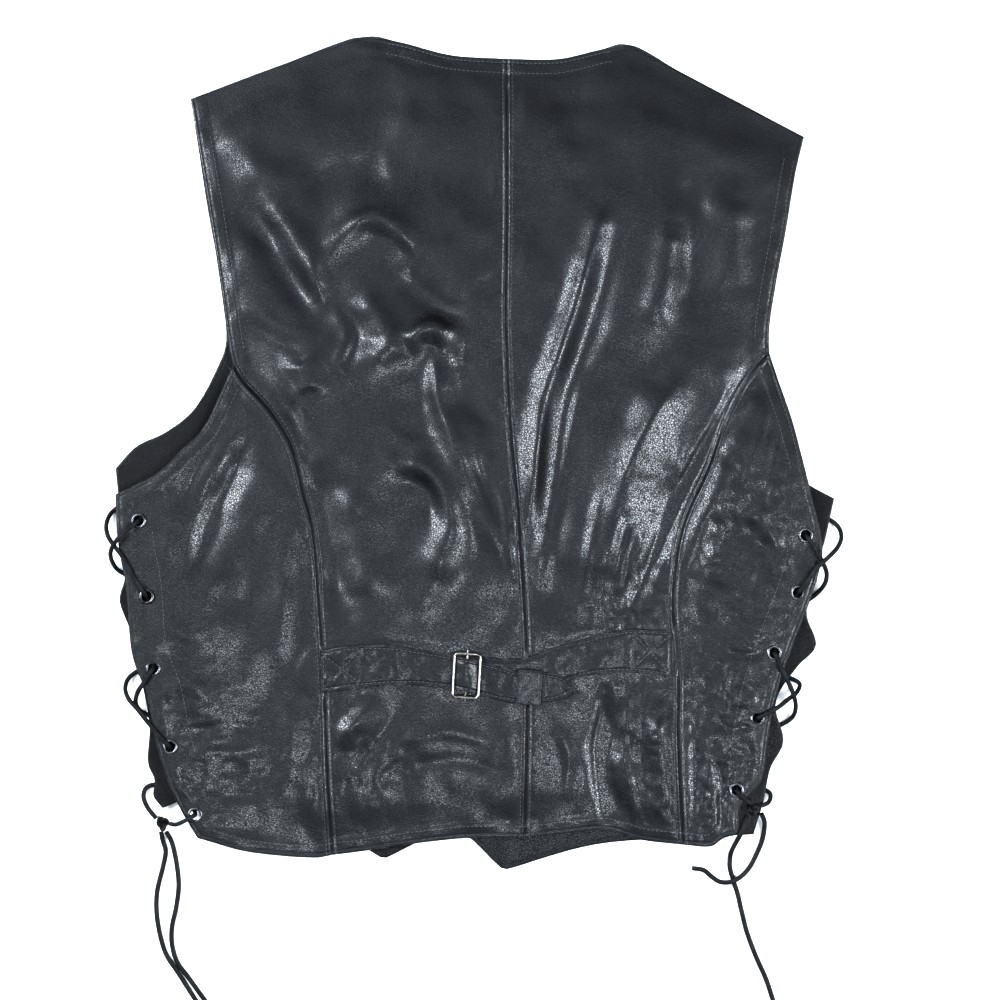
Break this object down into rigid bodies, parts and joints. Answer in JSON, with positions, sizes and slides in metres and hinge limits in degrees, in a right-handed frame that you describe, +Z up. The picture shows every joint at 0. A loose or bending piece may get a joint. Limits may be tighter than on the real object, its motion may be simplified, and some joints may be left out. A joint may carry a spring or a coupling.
{
  "type": "leather vest",
  "caption": "Sleeveless leather vest lying face down, with a panelled back, a buckled half belt and laced sides.",
  "frame": {"origin": "on the surface below the middle of the vest, at the centre of its outline without the laces", "axes": "+Z up from the surface out of the back of the vest, +Y towards the neck, +X towards the right side of the view"},
  "size_m": [0.5661, 0.7514, 0.0214],
  "materials": {
    "back_leather": "smooth semi-gloss grain leather, black",
    "front_leather": "smooth semi-gloss grain leather, black",
    "lining": "black woven lining with a faint sheen",
    "belt_leather": "creased black leather strap",
    "lace_leather": "matt charcoal leather lace",
    "eyelet_metal": "gunmetal, worn bright at the rim",
    "buckle_metal": "nickel plate"
  },
  "bodies": {
    "root": {"back_centre_left": "back_leather", "back_centre_right": "back_leather", "back_side_left": "back_leather", "back_side_right": "back_leather", "front_left": "front_leather", "front_right": "front_leather", "lining_left": "lining", "lining_right": "lining", "eyelet_back_left_1": "eyelet_metal", "eyelet_back_left_2": "eyelet_metal", "eyelet_back_left_3": "eyelet_metal", "eyelet_back_left_4": "eyelet_metal", "eyelet_back_left_5": "eyelet_metal", "eyelet_back_right_1": "eyelet_metal", "eyelet_back_right_2": "eyelet_metal", "eyelet_back_right_3": "eyelet_metal", "eyelet_back_right_4": "eyelet_metal", "eyelet_back_right_5": "eyelet_metal", "eyelet_front_left_1": "eyelet_metal", "eyelet_front_left_2": "eyelet_metal", "eyelet_front_left_3": "eyelet_metal", "eyelet_front_left_4": "eyelet_metal", "eyelet_front_left_5": "eyelet_metal", "eyelet_front_right_1": "eyelet_metal", "eyelet_front_right_2": "eyelet_metal", "eyelet_front_right_3": "eyelet_metal", "eyelet_front_right_4": "eyelet_metal", "eyelet_front_right_5": "eyelet_metal", "belt_left": "belt_leather", "belt_right": "belt_leather", "belt_keeper": "belt_leather", "buckle": "buckle_metal", "lace_left": "lace_leather", "lace_left_end_a": "lace_leather", "lace_left_end_b": "lace_leather", "lace_left_knot": "lace_leather", "lace_right": "lace_leather", "lace_right_end_a": "lace_leather", "lace_right_end_b": "lace_leather", "lace_right_knot": "lace_leather"}
  },
  "joints": []
}
